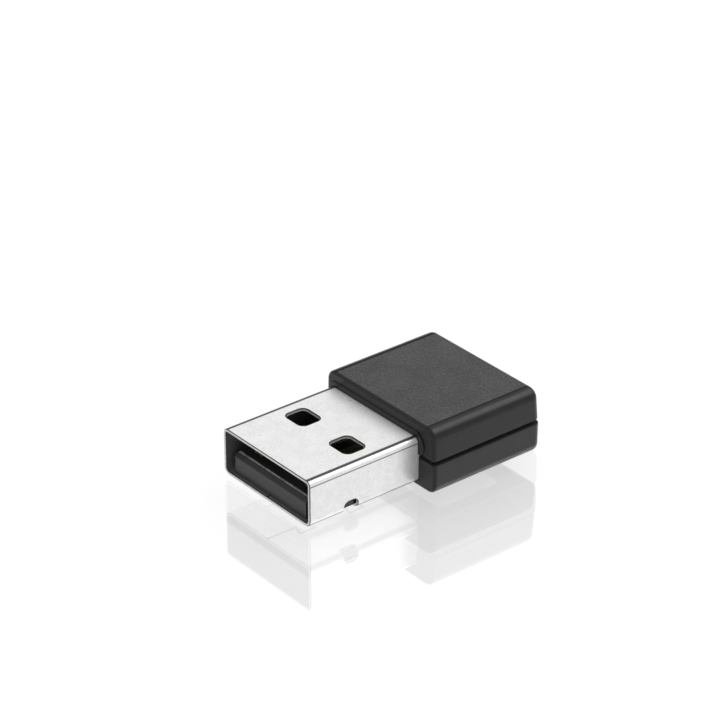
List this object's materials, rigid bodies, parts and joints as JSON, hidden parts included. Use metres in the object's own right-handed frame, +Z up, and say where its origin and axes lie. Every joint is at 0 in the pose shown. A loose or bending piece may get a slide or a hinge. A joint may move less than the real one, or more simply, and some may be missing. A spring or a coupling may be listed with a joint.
{
  "type": "usb wifi adapter",
  "caption": "Miniature USB wifi adapter: a bright metal Type-A plug on a short black two-part plastic housing with a fine-grained top, and its circuit board inside.",
  "frame": {"origin": "centre of the whole object seen from above, on the surface that the housing rests on", "axes": "+Z up, +Y from the plug's mouth towards the rear of the housing, +X to the right for someone looking into the mouth along +Y"},
  "size_m": [0.015, 0.024, 0.0063],
  "materials": {
    "case_black": "fine-grained satin black moulding",
    "label_dark": "plain satin film label, blank",
    "plated_shell": "bright satin nickel plating on steel sheet",
    "insulator_dark": "satin glass-filled black plastic",
    "contact_gold": "gold-plated copper alloy",
    "board_green": "green solder mask over glass-fibre board",
    "copper_trace": "thin gold-finished copper",
    "solder_tin": "smooth bright solder",
    "chip_epoxy": "matt black moulding compound",
    "lead_tin": "tin-plated leads and end caps",
    "capacitor_ceramic": "fired tan ceramic",
    "resistor_black": "black glaze over ceramic",
    "ferrite_grey": "sintered dark grey ferrite",
    "crystal_ceramic": "pale ceramic package",
    "crystal_metal": "thin plated lid"
  },
  "bodies": {
    "root": {"upper_case": "case_black", "lower_case": "case_black", "rating_label": "label_dark", "usb_shell": "plated_shell", "usb_insulator": "insulator_dark", "contact_vbus": "contact_gold", "contact_data_minus": "contact_gold", "contact_data_plus": "contact_gold", "contact_ground": "contact_gold", "circuit_board": "board_green", "antenna_trace": "copper_trace", "contact_pads": "copper_trace", "contact_solder": "solder_tin", "leg_solder": "solder_tin", "wifi_chip": "chip_epoxy", "wifi_chip_leads": "lead_tin", "crystal_base": "crystal_ceramic", "crystal_lid": "crystal_metal", "regulator_body": "chip_epoxy", "regulator_leads": "lead_tin", "inductor_core": "ferrite_grey", "inductor_terminals": "lead_tin", "ceramic_capacitors": "capacitor_ceramic", "capacitor_terminals": "lead_tin", "chip_resistors": "resistor_black", "resistor_terminals": "lead_tin", "matching_inductors": "ferrite_grey", "matching_terminals": "lead_tin", "memory_chip": "chip_epoxy", "memory_leads": "lead_tin"}
  },
  "joints": []
}
